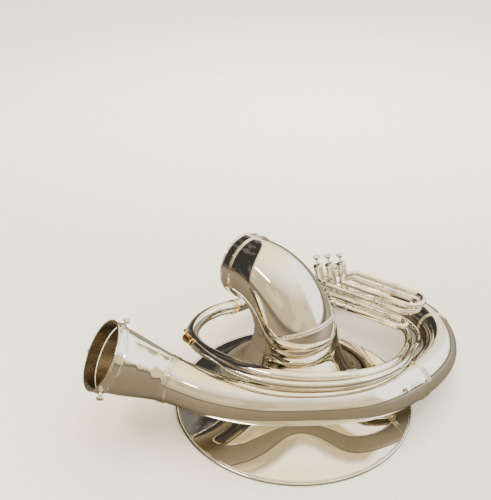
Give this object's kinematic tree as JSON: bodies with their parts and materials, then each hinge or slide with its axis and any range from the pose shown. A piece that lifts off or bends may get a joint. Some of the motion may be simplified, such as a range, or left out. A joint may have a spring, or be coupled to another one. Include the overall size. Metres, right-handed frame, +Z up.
{
  "type": "sousaphone",
  "caption": "Silver-plated three-valve sousaphone taken apart for storage: curved-neck bell section standing on its rim, coiled body with valves and tuning slides around it.",
  "frame": {"origin": "centre of the footprint on the floor", "axes": "+Z up from the floor, +X along the coil's long side with the receiver's mouth at -X, -Y towards the front of the big tube"},
  "size_m": [1.0288, 0.8542, 0.4472],
  "materials": {
    "silver_plate": "polished silver plate over brass",
    "raw_brass": "polished lacquered brass",
    "spring_steel": "drawn wire"
  },
  "bodies": {
    "bell": {"bell_flare": "silver_plate", "bell_rim_bead": "silver_plate", "neck_socket": "silver_plate", "bell_neck": "silver_plate", "bell_tenon": "silver_plate", "neck_joint_ring": "silver_plate"},
    "horn_body": {"bell_receiver": "silver_plate", "first_slide_far_leg": "silver_plate", "first_slide_near_leg": "silver_plate", "inner_back_ferrule": "raw_brass", "inner_branch_left": "silver_plate", "inner_branch_right": "silver_plate", "inner_front_ferrule": "silver_plate", "knuckle_1": "silver_plate", "knuckle_2": "silver_plate", "main_slide_far_leg": "silver_plate", "main_slide_near_leg": "silver_plate", "mouthpipe": "silver_plate", "mouthpipe_socket": "raw_brass", "outer_branch_front": "silver_plate", "outer_branch_rear": "silver_plate", "outer_branch_right": "silver_plate", "receiver_collar": "silver_plate", "receiver_ferrule": "silver_plate", "right_ferrule": "silver_plate", "second_slide_left_leg": "silver_plate", "second_slide_right_leg": "silver_plate", "slide_brace": "silver_plate", "third_slide_far_leg": "silver_plate", "third_slide_near_leg": "silver_plate", "thumb_ring": "silver_plate", "tuning_crook": "silver_plate", "valve_1_bottom_cap": "silver_plate", "valve_1_casing": "silver_plate", "valve_1_spring": "spring_steel", "valve_1_top_cap": "silver_plate", "valve_2_bottom_cap": "silver_plate", "valve_2_casing": "silver_plate", "valve_2_spring": "spring_steel", "valve_2_top_cap": "silver_plate", "valve_3_bottom_cap": "silver_plate", "valve_3_casing": "silver_plate", "valve_3_spring": "spring_steel", "valve_3_top_cap": "silver_plate", "water_key_saddle": "silver_plate"},
    "collar_screw_1": {"collar_screw_1": "silver_plate"},
    "collar_screw_2": {"collar_screw_2": "silver_plate"},
    "collar_screw_3": {"collar_screw_3": "silver_plate"},
    "socket_screw": {"socket_screw": "raw_brass"},
    "valve_1": {"valve_1_piston": "silver_plate", "valve_1_button": "silver_plate"},
    "valve_2": {"valve_2_piston": "silver_plate", "valve_2_button": "silver_plate"},
    "valve_3": {"valve_3_piston": "silver_plate", "valve_3_button": "silver_plate"},
    "first_slide": {"first_slide_crook": "silver_plate"},
    "third_slide": {"third_slide_crook": "silver_plate"},
    "main_slide": {"main_slide_crook": "silver_plate"},
    "second_slide": {"second_slide_crook": "silver_plate"},
    "water_key": {"water_key_lever": "silver_plate"}
  },
  "joints": [
    {"name": "body_lift", "type": "slide", "parent": "bell", "child": "horn_body", "axis": [0, 0, 1], "range_m": [0, 0.46]},
    {"name": "collar_screw_1_turn", "type": "hinge", "parent": "horn_body", "child": "collar_screw_1", "pos_m": [-0.40254, -0.21803, 0.31925], "axis": [0.5137, 0.1502, 0.8447], "continuous": true},
    {"name": "collar_screw_2_turn", "type": "hinge", "parent": "horn_body", "child": "collar_screw_2", "pos_m": [-0.45059, -0.31427, 0.20382], "axis": [-0.0138, -0.9063, -0.4224], "continuous": true},
    {"name": "collar_screw_3_turn", "type": "hinge", "parent": "horn_body", "child": "collar_screw_3", "pos_m": [-0.49487, -0.16283, 0.20382], "axis": [-0.4999, 0.7561, -0.4224], "continuous": true},
    {"name": "socket_screw_turn", "type": "hinge", "parent": "horn_body", "child": "socket_screw", "pos_m": [-0.2561, -0.11355, 0.2278], "axis": [-0.0679, 0.1144, 0.9911], "continuous": true},
    {"name": "valve_1_press", "type": "slide", "parent": "horn_body", "child": "valve_1", "axis": [0.205, -0.035, -0.9781], "range_m": [0, 0.018], "stiffness_N_per_m": 250, "springref_m": -0.028, "deforming": ["valve_1_spring"]},
    {"name": "valve_2_press", "type": "slide", "parent": "horn_body", "child": "valve_2", "axis": [0.205, -0.035, -0.9781], "range_m": [0, 0.018], "stiffness_N_per_m": 250, "springref_m": -0.028, "deforming": ["valve_2_spring"]},
    {"name": "valve_3_press", "type": "slide", "parent": "horn_body", "child": "valve_3", "axis": [0.205, -0.035, -0.9781], "range_m": [0, 0.018], "stiffness_N_per_m": 250, "springref_m": -0.028, "deforming": ["valve_3_spring"]},
    {"name": "first_slide_pull", "type": "slide", "parent": "horn_body", "child": "first_slide", "axis": [0.806, -0.592, 0], "range_m": [0, 0.065]},
    {"name": "third_slide_pull", "type": "slide", "parent": "horn_body", "child": "third_slide", "axis": [0.806, -0.592, 0], "range_m": [0, 0.06]},
    {"name": "main_slide_pull", "type": "slide", "parent": "horn_body", "child": "main_slide", "axis": [0.806, -0.592, 0], "range_m": [0, 0.035]},
    {"name": "second_slide_pull", "type": "slide", "parent": "horn_body", "child": "second_slide", "axis": [0.592, 0.806, 0], "range_m": [0, 0.02]},
    {"name": "water_key_press", "type": "hinge", "parent": "horn_body", "child": "water_key", "pos_m": [0.33056, -0.2391, 0.15874], "axis": [-0.3101, 0.5453, 0.7788], "range_deg": [0, 8], "stiffness_Nm_per_rad": 0.15, "springref_deg": -11.46}
  ]
}
